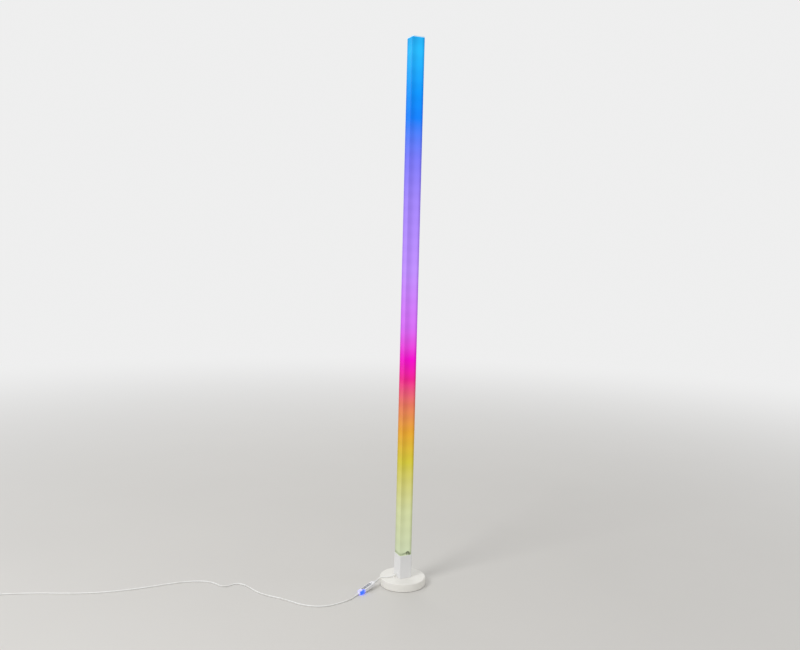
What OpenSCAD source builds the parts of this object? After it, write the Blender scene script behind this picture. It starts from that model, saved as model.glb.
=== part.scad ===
// Corner floor lamp. A milky square tube, lit from inside by two rows of
// addressable light-emitting diodes, stands in a square socket on a weighted
// round base. A thin lead leaves the socket, crosses the base and feeds an
// inline controller with three sprung keys, and a cord runs on to a USB plug.
// The origin is the centre of the base's underside, and +Z is up. The tube's
// faces are square to X and Y, and the lead leaves the socket towards -X.

/* [Lamp] */
// Overall height, from the floor to the top cap
lamp_h = 1400; // [1000:10:1700]

/* [Tube] */
// Side of the square light tube
tube_side = 33; // [30:0.5:36]
// Wall of the light tube
tube_wall = 1.8; // [1.4:0.1:2.4]
// Radius of the tube's outer corners
tube_corner = 2; // [1:0.25:2.5]
// Thickness of the top cap's plate
cap_t = 2.4; // [1.6:0.1:4]
// Depth of the skirts that the two end fittings push into the tube
skirt_h = 7; // [5:0.5:12]

/* [Spine and lights] */
// Thickness of the spine's two flanges
spine_t = 2; // [1.5:0.1:2.6]
// Width of a light strip
strip_w = 10; // [8:0.5:11]
// Thickness of a light strip
strip_t = 0.4; // [0.2:0.05:0.6]
// Height above the socket at which the strips start
strip_start = 7; // [4:0.5:20]
// Side of a square diode package
led_side = 5; // [3.5:0.1:5.5]
// Height of a diode package
led_t = 1.6; // [1:0.1:2]
// Distance from one diode to the next
led_pitch = 33.3; // [16.6:0.1:50]

/* [Base] */
// Diameter of the round base
base_d = 119; // [113:1:125]
// Height of the base, with its foot pad
base_h = 21; // [18:0.5:24]
// Radius of the base's top edge
base_edge = 2; // [1:0.25:3]
// Wall of the base shell
base_skin = 2.5; // [2:0.1:3.2]
// Thickness of the foot pad
foot_t = 2; // [1.6:0.1:3]
// Gap between the base shell and the floor
foot_gap = 1.2; // [0.6:0.1:1.5]
// Thickness of the plate that closes the base
plate_t = 1.8; // [1.6:0.1:2.4]

/* [Socket] */
// Height of the socket's top above the floor
socket_top = 82; // [76:1:110]
// Wall of the socket round the tube
socket_wall = 1.4; // [1.1:0.1:2]
// Thickness of the socket's floor
socket_floor = 3; // [2.4:0.1:4]
// Length of the tube's fittings held in the socket
tube_depth = 38; // [28:1:40]
// Width of the ledge that the tube stands on
ledge_w = 2.5; // [2:0.1:3]

/* [Controller] */
// Length of the controller's case
ctl_l = 58; // [56:1:70]
// Width of the controller's case
ctl_w = 13.5; // [13:0.5:17]
// Height of the controller's case
ctl_h = 8.6; // [8.2:0.1:10]
// Wall of the controller's case
ctl_wall = 1.2; // [1:0.1:1.4]
// Length of a strain relief outside the case
boot_l = 12; // [9:0.5:14]
// Travel of a key
key_travel = 0.5; // [0.3:0.05:0.6]
// Distance from one key to the next
key_pitch = 11; // [9:0.5:12]

/* [Cord and plug] */
// Diameter of the cord
cord_d = 3.2; // [2.8:0.1:3.5]
// Gap between neighbouring turns of the put-away cord
coil_gap = 0.6; // [0.5:0.05:1]
// Length of the plug's grip
grip_l = 24; // [20:1:30]
// Width of the plug's metal shell
usb_w = 12; // [11.9:0.05:12.1]
// Height of the plug's metal shell
usb_h = 4.5; // [4.4:0.05:4.6]

/* [Fits] */
// Gap each side between the tube and the socket
tube_fit = 0.1; // [0.05:0.01:0.2]
// Gap each side between the tube and what pushes into it
skirt_fit = 0.1; // [0.05:0.01:0.2]
// Gap round a screw's shank, a spigot or a cord in its hole
hole_fit = 0.05; // [0.03:0.01:0.1]
// Gap round a key in its opening
key_fit = 0.15; // [0.1:0.01:0.25]
// Gap between parts that lie loosely beside each other
loose_fit = 0.3; // [0.2:0.05:0.4]

/* [Hidden] */
$fn = 64;
bite = 1; // how far a cutter runs past the face that it cuts

// Base
base_r = base_d / 2;
plate_r = base_r - base_skin - loose_fit;
plate_top = foot_t + plate_t;
roof_z = base_h - base_skin; // underside of the base shell's roof
screw_d = 3;
head_d = 5.6;
head_h = 1.5;
recess_l = 2.8; // the cross in a screw's head
recess_w = 0.6;
recess_deep = 0.65; // share of the head's height
boss_d = 6.5;
boss_h = 8;
post_gap = 1; // clear of a post or a screw's head
plate_grip = 7; // length of a plate screw past the plate

// Socket
socket_in = tube_side + 2 * tube_fit;
socket_side = socket_in + 2 * socket_wall;
socket_corner = tube_corner + tube_fit + socket_wall;
ledge_z = socket_top - tube_depth;
chamber = tube_side - 2 * ledge_w;
chamber_z = base_h + socket_floor;
boss_at = chamber / 2 - boss_d / 2 + 1; // the bosses grow out of the chamber's corners
spigot_d = 12;
post_at = boss_at * sqrt(2) + head_d / 2 + boss_d / 2 + post_gap; // plate screws, outside the socket's
weight_bore = 2 * (post_at + boss_d / 2 + post_gap);
pad_bore = weight_bore + 6;
screw_corners = [for (x = [-1, 1], y = [-1, 1]) [x, y] * boss_at];
post_angles = [0, 90, 180, 270];

// Connector inside the socket, three ways on one pitch
way_pitch = 2.5;
ways = [-1, 0, 1];
conn_w = 3 * way_pitch + 2;
conn_h = 6;
conn_skin = 0.8;
conn_nose = 5;
conn_l = 8;
conn_mid = 1; // where the two halves meet, along X
wire_d = 1.3;

// Grommet in the socket's -X wall
grommet_neck = cord_d + 1.8;
grommet_flange = cord_d + 3.2;
grommet_z = chamber_z + grommet_flange / 2 + 2 * hole_fit;
grommet_t = 1.4;
grommet_bevel = 0.4;
grommet_nose = 4;
nose_wall = 0.6; // round the cord, at the nose's tip
socket_low_wall = socket_side / 2 - chamber / 2;
conn_z = grommet_z;

// Tube and what is in it
tube_in = tube_side - 2 * tube_wall;
soft_edge = tube_corner / 4; // round edge along the tops of the cap and the socket
skirt_wall = 1.5;
plug_rim = 2;
tube_z = ledge_z + plug_rim;
tube_top = lamp_h - cap_t;
skirt_side = tube_in - 2 * skirt_fit;
skirt_corner = 0.8;
skirt_hollow = skirt_side - 2 * skirt_wall;
spine_c = tube_in / 2 - loose_fit; // the spine's outer corner lies at [spine_c, spine_c]
spine_leg = spine_c + strip_w / 2 + 1.6;
lip_h = 1;
lip_w = 0.8;
port_d = 2.4; // hole for the cap's screw, along the spine's corner
port_wall = 1.4;
port_at = spine_c - spine_t - port_d / 2 - 0.2;
sink_d = 4.4; // the cap screw's head and the depth it is sunk in the cap
sink_h = 1.2;
cap_grip = 10; // length of the cap's screw in the port
cap_recess = [2.4, 0.5, 1.4];
spine_z = tube_z + skirt_h / 2;
spine_top = tube_top - skirt_h - loose_fit;
seat = spine_c - spine_t; // the flanges' inner faces
strip_z = socket_top + strip_start;
strip_top = spine_top - 6;
pad_zone = 9; // bare end of a strip, where its wires are soldered
cup_d = led_side * 0.8; // the shallow cup in a diode's face
cup_h = 0.3;
led_count = floor((strip_top - strip_z - 2 * pad_zone) / led_pitch) + 1;
wire_hole = 9;
wire_hole_at = [-1, -1];
wire_sides = 6;
wire_sag = 5; // how far the wires stand off the strip before they bend to it

// Controller, in its own frame: +X towards the lamp, its underside at z = 0
ctl_corner = 4.5;
ctl_edge = 1.4;
ctl_foot_edge = 0.5;
ctl_axis = ctl_h / 2; // height of the cords and of the line where the halves meet
lap_h = 0.8;
lap_t = 0.5;
lap_fit = 0.05;
neck_r = cord_d / 2 + 0.9;
flange_r = ctl_axis - ctl_wall - hole_fit;
flange_t = 1.2;
flange_gap = 0.2; // from the end wall, so that the flange clears the case's round corners
boot_r = neck_r + 1;
boot_tip = cord_d / 2 + 0.7;
boot_root = 0.3; // share of the boot that hardly tapers
ring_w = 0.7; // the grooves that let a boot bend
ring_wall = 0.55;
cord_grip = 4; // length of cord held in a bore
board_l = ctl_l - 2 * (ctl_wall + flange_t + 2 * loose_fit);
board_w = ctl_w - 2 * (ctl_wall + lap_t + loose_fit);
board_t = 0.8;
board_z = ctl_wall + 0.8;
board_top = board_z + board_t;
rib_at = board_l / 2 - 3;
rib_t = 1.2;
rib_root = 0.2; // how far a rib grows into the floor and the walls
chip = [3.2, 4.8, 1.1];
chip_leg = [0.3, 0.9, 0.3];
leg_pitch = 0.8;
small_part = [2, 1.2, 0.9];
switch_side = 3.6;
switch_h = 1.2;
plunger_d = 1.8;
plunger_h = 0.3;
receiver = [3.2, 4, 1.3];
receiver_dome = 2.4;
status_chip = [2, 2.8, 0.8];
panel_t = 0.5;
panel_corner = 1.5;
panel_l = 2 * key_pitch + 12;
panel_w = ctl_w - 2 * ctl_edge - 2;
roof = ctl_h - ctl_wall; // underside of the case's top
panel_roof = roof - panel_t; // and under the panel's recess
key_l = 6;
key_w = 4.6;
key_rise = 0.4;
key_flange = 0.7;
key_rim = 0.6;
key_corner = 1;
key_soft = 0.5; // the key's top edge
key_stem = 2.6;
key_places = [for (i = ways) i * key_pitch];
window_at = panel_l / 2 + 3.4;
window_d = 3;
window_rim = 0.7;
window_flange = 0.6;
lens_at = -window_at;

// Where the controller lies: turned, and leaning from the lead down to the floor
ctl_at = [-106.5, -11];
ctl_turn = 27;
ctl_lean = 9;
rest_gap = 0.05; // what only touches the floor stops this far above it

// Cord
cord_r = cord_d / 2;
cord_z = cord_r + rest_gap;
ring_step = 17;
lead_step = 4.5;
cord_sides = 8;
coil_sides = 6;
coil_rings = 24;
coil_turns = 6.25;
coil_mid = 18.5;
coil_at = [-1012, 276];
tie_t = 0.6;
tie_w = 4;
tie_corner = 1;
tie_slack = 0.15; // under the cords, and above them
tie_angle = -50;
coil_pitch = cord_d + coil_gap;
coil_sweep = 360 * coil_turns;
coil_out = coil_mid + coil_pitch * coil_turns / 4;
coil_in = coil_mid - coil_pitch * coil_turns / 4;
coil_z = rest_gap + tie_t + tie_slack + cord_r;

// Plug, in its own frame: +X out of the metal shell, its underside at z = 0
grip_w = 15.6;
grip_h = 8;
grip_edge = 1.6;
groove_w = 1;
groove_pitch = 3;
groove_from = 6;
groove_deep = 0.3;
usb_t = 0.3;
usb_corner = 0.6;
latch = 2.2; // the square latch windows
latch_at = 6;
usb_out = 13;
usb_held = 6;
tongue_t = 1.9;
tongue_back = 0.5; // how far the tongue's end lies inside the shell's mouth
contact_w = 1;
contact_t = 0.2;
contact_from = 3; // along X from the grip's face
contact_back = 1.5;
contact_y = [-3.5, -1, 1, 3.5];
plug_boot = 9;
plug_at = [-1044, 236];
plug_turn = -90;

// Routes of the free cords, by hand, past the fittings that they end in
lead_route = [
    [-32, 1, base_h + cord_z + 1.4], [-41, 3, base_h + cord_z + 0.1], [-51, 5.8, base_h + cord_z],
    [-58.5, 7.9, base_h + cord_z - 0.3], [-64.3, 8.9, base_h - 0.8]
];
cord_route = [
    [-160, -42, cord_z + 0.2], [-178, -49, cord_z], [-202, -55, cord_z], [-226, -58, cord_z],
    [-249, -54, cord_z], [-272, -41, cord_z], [-290, -24, cord_z], [-308, 2, cord_z],
    [-326, 27, cord_z], [-344, 47, cord_z], [-360, 68, cord_z], [-371, 91, cord_z],
    [-379, 115, cord_z], [-388, 137, cord_z], [-401, 151, cord_z], [-417, 151, cord_z],
    [-432, 147, cord_z], [-445, 154, cord_z], [-454, 171, cord_z], [-469, 190, cord_z],
    [-494, 204, cord_z], [-530, 213, cord_z], [-575, 215, cord_z], [-625, 214, cord_z],
    [-675, 216, cord_z], [-725, 223, cord_z], [-775, 236, cord_z], [-825, 255, cord_z],
    [-875, 276, cord_z], [-920, 291, cord_z], [-955, coil_at.y + coil_out, cord_z + 0.2]
];
plug_route = [[-1038, 262, 5.2], [-1041, 252, 4.6]];

function unit(v) = v / norm(v);
function sum(v, i = 0) = i == len(v) ? 0 : v[i] + sum(v, i + 1);
function path_length(q) = sum([for (i = [1:len(q) - 1]) norm(q[i] - q[i - 1])]);

// Turned about Z by a, and about Y by -b before that, so that +X rises
function tilted(p, a, b) =
    let (x = p.x * cos(b) - p.z * sin(b), z = p.x * sin(b) + p.z * cos(b))
    [x * cos(a) - p.y * sin(a), x * sin(a) + p.y * cos(a), z];
function on_controller(p) =
    [ctl_at.x, ctl_at.y, rest_gap + ctl_l / 2 * sin(ctl_lean)] + tilted(p, ctl_turn, ctl_lean);
function on_plug(p) = [plug_at.x, plug_at.y, rest_gap] + tilted(p, plug_turn, 0);

// A smooth curve through points: each point's direction weighs its two spans by their lengths
function heading(p, i) =
    i == 0 ? unit(p[1] - p[0]) :
    i == len(p) - 1 ? unit(p[i] - p[i - 1]) :
    let (a = norm(p[i] - p[i - 1]), b = norm(p[i + 1] - p[i]))
    ((p[i] - p[i - 1]) * b / a + (p[i + 1] - p[i]) * a / b) / (a + b);
function blend(p, i, t) =
    let (d = norm(p[i + 1] - p[i]), s = 1 - t)
    p[i] * s * s * (1 + 2 * t) + p[i + 1] * t * t * (3 - 2 * t)
    + d * t * s * (heading(p, i) * s - heading(p, i + 1) * t);
function smooth(p, step) = [
    for (i = [0:len(p) - 2])
        let (n = max(1, round(norm(p[i + 1] - p[i]) / step)))
        for (k = [0:n - 1]) blend(p, i, k / n),
    p[len(p) - 1]
];

// A tube of flat sides along the points q; across is any direction that q never runs in
module tube(q, r, sides, across = [0, 0, 1]) {
    n = len(q);
    ring = [for (i = [0:n - 1])
        let (
            t = unit(q[min(i + 1, n - 1)] - q[max(i - 1, 0)]),
            u = unit(cross(across, t)),
            v = cross(t, u)
        )
        for (k = [0:sides - 1])
            let (a = 360 * (k + 0.5) / sides) q[i] + r * (cos(a) * u + sin(a) * v)
    ];
    side = [for (i = [0:n - 2], k = [0:sides - 1])
        let (a = i * sides + k, b = i * sides + (k + 1) % sides)
        each [[a, a + sides, b], [b, a + sides, b + sides]]
    ];
    ends = [for (k = [1:sides - 2])
        each [[0, k, k + 1], [(n - 1) * sides, (n - 1) * sides + k + 1, (n - 1) * sides + k]]
    ];
    polyhedron(ring, concat(side, ends), convexity = 8);
}

// A rectangle with round corners, as arcs and straight lines
module soft_rectangle(x, y, r) {
    square([x - 2 * r, y], center = true);
    square([x, y - 2 * r], center = true);
    for (i = [-1, 1], j = [-1, 1]) translate([i * (x / 2 - r), j * (y / 2 - r)]) circle(r);
}

module soft_block(x, y, z, r) {
    linear_extrude(z) soft_rectangle(x, y, r);
}

// The same block with a round edge along its top
module soft_top_block(x, y, z, r, edge) {
    soft_block(x, y, z - edge, r);
    soft_block(x - 2 * edge, y - 2 * edge, z, r - edge);
    for (a = [0, 90], s = [-1, 1]) {
        across = a == 0 ? x : y;
        along = a == 0 ? y : x;
        rotate(a) translate([s * (across / 2 - edge), 0, z - edge]) rotate([90, 0, 0])
            cylinder(r = edge, h = along - 2 * r, center = true);
    }
    for (i = [-1, 1], j = [-1, 1]) translate([i * (x / 2 - r), j * (y / 2 - r), z - edge])
        rotate_extrude() translate([r - edge, 0]) circle(edge);
}

// A pan-head screw, its head's seat at z = 0 and its shank up from there
module pan_screw(length) {
    difference() {
        union() {
            cylinder(d = screw_d - 2 * hole_fit, h = length);
            translate([0, 0, -head_h]) cylinder(d = head_d, h = head_h);
        }
        cross_recess(head_h);
    }
}

// A countersunk screw, its flat face at z = 0 and its shank up from there
module flat_screw(length) {
    difference() {
        union() {
            cylinder(d = screw_d - 2 * hole_fit, h = length);
            cylinder(d1 = head_d, d2 = screw_d - 2 * hole_fit, h = head_h);
        }
        translate([0, 0, head_h]) cross_recess(head_h);
    }
}

module cross_recess(depth) {
    for (a = [0, 90])
        rotate(a) translate([0, 0, -depth])
            cube([recess_l, recess_w, 2 * recess_deep * depth], center = true);
}

// Base

module base_shell() color("white") {
    difference() {
        union() {
            rotate_extrude($fn = 128) difference() {
                union() {
                    translate([0, foot_gap]) square([base_r, base_h - base_edge - foot_gap]);
                    translate([0, foot_gap]) square([base_r - base_edge, base_h - foot_gap]);
                    translate([base_r - base_edge, base_h - base_edge]) circle(base_edge);
                }
                translate([0, foot_gap - bite])
                    square([base_r - base_skin, roof_z - foot_gap + bite]);
            }
            for (a = post_angles)
                rotate(a) translate([post_at, 0, plate_top])
                    cylinder(d = boss_d, h = roof_z - plate_top + base_skin / 2);
        }
        translate([0, 0, roof_z - bite]) cylinder(d = spigot_d + 2 * hole_fit, h = base_skin + 2 * bite);
        for (p = screw_corners)
            translate([p.x, p.y, roof_z - bite])
                cylinder(d = screw_d + 2 * hole_fit, h = base_skin + 2 * bite);
        for (a = post_angles)
            rotate(a) translate([post_at, 0, plate_top - bite])
                cylinder(d = screw_d, h = roof_z - plate_top);
    }
}

module base_weight() color("dimgray") {
    translate([0, 0, plate_top + hole_fit]) difference() {
        cylinder(r = plate_r, h = roof_z - plate_top - 2 * hole_fit, $fn = 128);
        translate([0, 0, -bite]) cylinder(d = weight_bore, h = base_h);
    }
}

module base_plate() color("gainsboro") {
    difference() {
        translate([0, 0, foot_t]) cylinder(r = plate_r, h = plate_t, $fn = 128);
        for (a = post_angles) rotate(a) translate([post_at, 0, foot_t]) {
            translate([0, 0, -bite]) cylinder(d = screw_d + 2 * hole_fit, h = plate_t + 2 * bite);
            translate([0, 0, -hole_fit])
                cylinder(d1 = head_d + 4 * hole_fit, d2 = screw_d + 2 * hole_fit, h = head_h + hole_fit);
        }
    }
}

module foot_pad() color("darkslategray") {
    difference() {
        cylinder(r = plate_r - base_skin / 2, h = foot_t, $fn = 128);
        translate([0, 0, -bite]) cylinder(d = pad_bore, h = foot_t + 2 * bite);
    }
}

module plate_screws() color("silver") {
    for (a = post_angles) rotate(a) translate([post_at, 0, foot_t]) flat_screw(plate_t + plate_grip);
}

// Socket

module socket() color("whitesmoke") {
    difference() {
        union() {
            difference() {
                translate([0, 0, base_h])
                    soft_top_block(socket_side, socket_side, socket_top - base_h, socket_corner, soft_edge);
                translate([0, 0, ledge_z])
                    soft_block(socket_in, socket_in, tube_depth + bite, tube_corner + tube_fit);
                translate([0, 0, chamber_z])
                    soft_block(chamber, chamber, ledge_z - chamber_z + bite, skirt_corner);
            }
            translate([0, 0, base_h - base_skin]) cylinder(d = spigot_d, h = base_skin + bite);
            for (p = screw_corners)
                translate([p.x, p.y, base_h]) cylinder(d = boss_d, h = socket_floor + boss_h);
        }
        for (p = screw_corners)
            translate([p.x, p.y, base_h - bite]) cylinder(d = screw_d, h = socket_floor + boss_h);
        translate([-chamber / 2 + bite, 0, grommet_z]) rotate([0, -90, 0])
            cylinder(d = grommet_neck + 2 * hole_fit, h = socket_low_wall + 2 * bite);
    }
}

module socket_screws() color("silver") {
    for (p = screw_corners) translate([p.x, p.y, roof_z]) pan_screw(base_skin + boss_h);
}

// The grommet's flange lies on the socket's wall, and its nose tapers to the cord
module cord_grommet() color("white") {
    translate([-socket_side / 2, 0, grommet_z]) rotate([0, -90, 0]) difference() {
        rotate_extrude() polygon([
            [0, -socket_low_wall - flange_t],
            [grommet_flange / 2, -socket_low_wall - flange_t],
            [grommet_flange / 2, -socket_low_wall - hole_fit],
            [grommet_neck / 2, -socket_low_wall - hole_fit],
            [grommet_neck / 2, 0],
            [grommet_flange / 2, 0],
            [grommet_flange / 2, grommet_t - grommet_bevel],
            [grommet_flange / 2 - grommet_bevel, grommet_t],
            [grommet_neck / 2, grommet_t],
            [cord_r + nose_wall, grommet_nose],
            [0, grommet_nose]
        ]);
        translate([0, 0, -socket_low_wall - flange_t - bite])
            cylinder(r = cord_r + hole_fit, h = socket_low_wall + flange_t + grommet_nose + 2 * bite);
    }
}

// The plug half of the connector: a body on the lamp lead and a nose with three ways
module connector_plug() color("ivory") {
    translate([conn_mid, 0, conn_z]) difference() {
        union() {
            translate([-conn_l, -conn_w / 2, -conn_h / 2]) cube([conn_l, conn_w, conn_h]);
            translate([-bite, -conn_w / 2 + conn_skin + hole_fit, -conn_h / 2 + conn_skin + hole_fit])
                cube([conn_nose + bite, conn_w - 2 * (conn_skin + hole_fit),
                    conn_h - 2 * (conn_skin + hole_fit)]);
        }
        for (i = ways) translate([conn_nose + bite, i * way_pitch, 0]) rotate([0, -90, 0])
            cylinder(d = wire_d, h = conn_nose);
    }
}

module connector_socket() color("ivory") {
    translate([conn_mid + hole_fit, 0, conn_z]) difference() {
        translate([0, -conn_w / 2, -conn_h / 2]) cube([conn_nose + conn_l / 2, conn_w, conn_h]);
        translate([-bite, -conn_w / 2 + conn_skin, -conn_h / 2 + conn_skin])
            cube([conn_nose + bite + hole_fit, conn_w - 2 * conn_skin, conn_h - 2 * conn_skin]);
    }
}

// Tube

module diffuser() color("lightcyan") {
    translate([0, 0, tube_z]) linear_extrude(tube_top - tube_z) difference() {
        soft_rectangle(tube_side, tube_side, tube_corner);
        soft_rectangle(tube_in, tube_in, skirt_corner);
    }
}

module top_cap() color("white") {
    difference() {
        union() {
            translate([0, 0, tube_top]) soft_top_block(tube_side, tube_side, cap_t, tube_corner, soft_edge);
            translate([0, 0, tube_top - skirt_h]) soft_block(skirt_side, skirt_side, skirt_h, skirt_corner);
        }
        translate([0, 0, tube_top - skirt_h - bite]) difference() {
            soft_block(skirt_hollow, skirt_hollow, skirt_h + bite, skirt_corner / 2);
            translate([port_at, port_at, 0]) cylinder(d = port_d + 2 * port_wall, h = skirt_h + bite);
        }
        translate([port_at, port_at, tube_top - skirt_h - bite])
            cylinder(d = port_d + 2 * hole_fit, h = skirt_h + cap_t + 2 * bite);
        translate([port_at, port_at, lamp_h - sink_h]) {
            cylinder(d1 = port_d + 2 * hole_fit, d2 = sink_d + 4 * hole_fit, h = sink_h - 2 * hole_fit);
            translate([0, 0, sink_h - 2 * hole_fit]) cylinder(d = sink_d + 4 * hole_fit, h = bite);
        }
    }
}

// One countersunk screw holds the cap to the port along the spine's corner
module cap_screw() color("silver") {
    length = cap_t + skirt_h + loose_fit + cap_grip;
    translate([port_at, port_at, lamp_h]) difference() {
        union() {
            translate([0, 0, -length]) cylinder(d = port_d - 2 * hole_fit, h = length - 2 * hole_fit);
            translate([0, 0, -sink_h])
                cylinder(d1 = port_d - 2 * hole_fit, d2 = sink_d, h = sink_h - 2 * hole_fit);
        }
        for (a = [0, 90]) rotate(a) cube(cap_recess, center = true);
    }
}

// The lower fitting: a rim under the tube, a skirt in it and a hole for the wires
module bottom_plug() color("white") {
    difference() {
        union() {
            translate([0, 0, ledge_z]) soft_block(tube_side, tube_side, plug_rim, tube_corner);
            translate([0, 0, ledge_z]) soft_block(skirt_side, skirt_side, plug_rim + skirt_h, skirt_corner);
        }
        translate([wire_hole_at.x, wire_hole_at.y, ledge_z - bite])
            cylinder(d = wire_hole, h = plug_rim + skirt_h + 2 * bite);
        translate([0, 0, spine_z - hole_fit])
            linear_extrude(skirt_h) offset(delta = hole_fit * 2) spine_outline();
    }
}

// The spine's section: two flanges with lips beside each strip, and a screw port in the corner
module spine_outline() {
    for (m = [0, 1]) mirror([m, -m]) {
        translate([spine_c - spine_leg, spine_c - spine_t]) square([spine_leg, spine_t]);
        for (x = [-strip_w / 2 - hole_fit - lip_w, strip_w / 2 + hole_fit])
            translate([x, seat - lip_h]) square([lip_w, lip_h + spine_t / 2]);
    }
    translate([port_at, port_at]) circle(d = port_d + 2 * port_wall);
}

module spine() color("silver") {
    translate([0, 0, spine_z]) linear_extrude(spine_top - spine_z) difference() {
        spine_outline();
        translate([port_at, port_at]) circle(d = port_d);
    }
}

// Places its children on the flange that faces -Y, or mirrored on the one that faces -X
module on_flange(side) {
    mirror([side, -side, 0]) translate([0, seat, 0]) rotate([90, 0, 0]) children();
}

module strip(side) {
    on_flange(side) translate([-strip_w / 2, strip_z, 0]) cube([strip_w, strip_top - strip_z, strip_t]);
}

module leds(side) {
    for (i = [0:led_count - 1])
        on_flange(side) translate([0, strip_z + pad_zone + i * led_pitch, strip_t]) difference() {
            translate([-led_side / 2, -led_side / 2, 0]) cube([led_side, led_side, led_t]);
            translate([0, 0, led_t - cup_h]) cylinder(d = cup_d, h = bite, $fn = 24);
        }
}

module strip_front() color("snow") strip(0);
module strip_side() color("snow") strip(1);
module leds_front() color("lightyellow") leds(0);
module leds_side() color("lightyellow") leds(1);

// Three wires from the connector, up through the lower fitting, to the front strip's end
module strip_leads() color("tomato") {
    start = conn_mid + hole_fit + conn_nose + conn_l / 2;
    face = seat - strip_t;
    for (i = ways) {
        route = [
            [start, i * way_pitch, conn_z],
            [start + 1, i * way_pitch, conn_z],
            [start + 0.2, i * 2.3, conn_z + 6],
            [4, i * 2.2 - 0.5, ledge_z - 4],
            [wire_hole_at.x + i * 2.2, wire_hole_at.y, ledge_z + 4],
            [i * 2.4 - 0.6, 0, spine_z + skirt_h + 3],
            [i * way_pitch, face - wire_sag, strip_z - 12],
            [i * way_pitch, face - wire_sag, strip_z - 3],
            [i * way_pitch, face - wire_sag / 2, strip_z + 2],
            [i * way_pitch, face - wire_d / 2 - hole_fit, strip_z + 5]
        ];
        tube(smooth(route, lead_step), wire_d / 2, wire_sides, [0.2, 1, 0.1]);
    }
}

// Three short wires carry the supply and data from one strip's top end round to the other's
module strip_jumper() color("tomato") {
    face = seat - strip_t - wire_d / 2 - hole_fit;
    for (i = ways) {
        turn = strip_top - 3 + (i + 1) * 1.6;
        route = [
            [-i * way_pitch, face, strip_top - 6],
            [-i * way_pitch, face - 0.6, turn - 1],
            [0.3 * face - i, 0.75 * face, turn + 1.5],
            [0.75 * face, 0.3 * face - i, turn + 1.5],
            [face - 0.6, -i * way_pitch, turn - 1],
            [face, -i * way_pitch, strip_top - 6]
        ];
        tube(smooth(route, lead_step), wire_d / 2, wire_sides, [1, 1, 0.1]);
    }
}

// Controller

module controller_frame() {
    translate([ctl_at.x, ctl_at.y, rest_gap + ctl_l / 2 * sin(ctl_lean)])
        rotate([0, 0, ctl_turn]) rotate([0, -ctl_lean, 0]) children();
}

// The case's outside: four round posts with a softened rim top and bottom, under one skin
module case_body() {
    hull() for (i = [-1, 1], j = [-1, 1])
        translate([i * (ctl_l / 2 - ctl_corner), j * (ctl_w / 2 - ctl_corner), 0])
            rotate_extrude($fn = 32) {
                translate([0, ctl_foot_edge]) square([ctl_corner, ctl_h - ctl_foot_edge - ctl_edge]);
                square([ctl_corner - ctl_foot_edge, ctl_h - ctl_edge]);
                square([ctl_corner - ctl_edge, ctl_h]);
                translate([ctl_corner - ctl_edge, ctl_h - ctl_edge]) circle(ctl_edge);
            }
}

// The case's inside, as a plan that may be grown into the wall
module case_plan(grow = 0) {
    soft_rectangle(ctl_l - 2 * (ctl_wall - grow), ctl_w - 2 * (ctl_wall - grow), ctl_corner - ctl_wall + grow);
}

module neck_holes() {
    for (end = [-1, 1]) translate([end * (ctl_l / 2 - ctl_wall - bite), 0, ctl_axis])
        rotate([0, end * 90, 0]) cylinder(r = neck_r + hole_fit, h = ctl_wall + 2 * bite);
}

module case_bottom() color("white") controller_frame() {
    difference() {
        union() {
            intersection() {
                case_body();
                translate([0, 0, ctl_axis / 2]) cube([2 * ctl_l, 2 * ctl_w, ctl_axis], center = true);
            }
            translate([0, 0, ctl_wall]) // the lip that the top half slides over
                linear_extrude(ctl_axis + lap_h - ctl_wall) case_plan(lap_t);
        }
        translate([0, 0, ctl_wall]) linear_extrude(ctl_h) case_plan();
        neck_holes();
    }
    for (x = [-rib_at, rib_at]) // ribs under the board
        translate([x, 0, board_z - (board_z - ctl_wall + rib_root) / 2])
            cube([rib_t, ctl_w - 2 * (ctl_wall - rib_root), board_z - ctl_wall + rib_root], center = true);
}

module case_top() color("white") controller_frame() {
    difference() {
        intersection() {
            case_body();
            translate([0, 0, ctl_axis + ctl_h / 2]) cube([2 * ctl_l, 2 * ctl_w, ctl_h], center = true);
        }
        difference() { // the inside, but for the thicker stretch that backs the panel
            translate([0, 0, ctl_axis - bite]) linear_extrude(roof - ctl_axis + bite) case_plan();
            translate([-panel_l / 2 - ctl_wall, -ctl_w, panel_roof])
                cube([panel_l + 2 * ctl_wall, 2 * ctl_w, ctl_h]);
        }
        translate([0, 0, ctl_axis - bite]) linear_extrude(lap_h + lap_fit + bite) case_plan(lap_t + lap_fit);
        translate([0, 0, ctl_h - panel_t])
            soft_block(panel_l + 2 * hole_fit, panel_w + 2 * hole_fit, panel_t + bite, panel_corner);
        for (x = key_places) translate([x, 0, panel_roof - bite])
            soft_block(key_l + 2 * key_fit, key_w + 2 * key_fit, ctl_h, key_corner);
        for (x = [window_at, lens_at]) translate([x, 0, roof - bite])
            cylinder(d = window_d + 2 * hole_fit, h = ctl_h, $fn = 32);
        neck_holes();
    }
}

module key_panel() color("silver") controller_frame() {
    translate([0, 0, ctl_h - panel_t]) difference() {
        soft_block(panel_l, panel_w, panel_t, panel_corner);
        for (x = key_places) translate([x, 0, -bite])
            soft_block(key_l + 2 * key_fit, key_w + 2 * key_fit, panel_t + 2 * bite, key_corner);
    }
}

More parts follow.
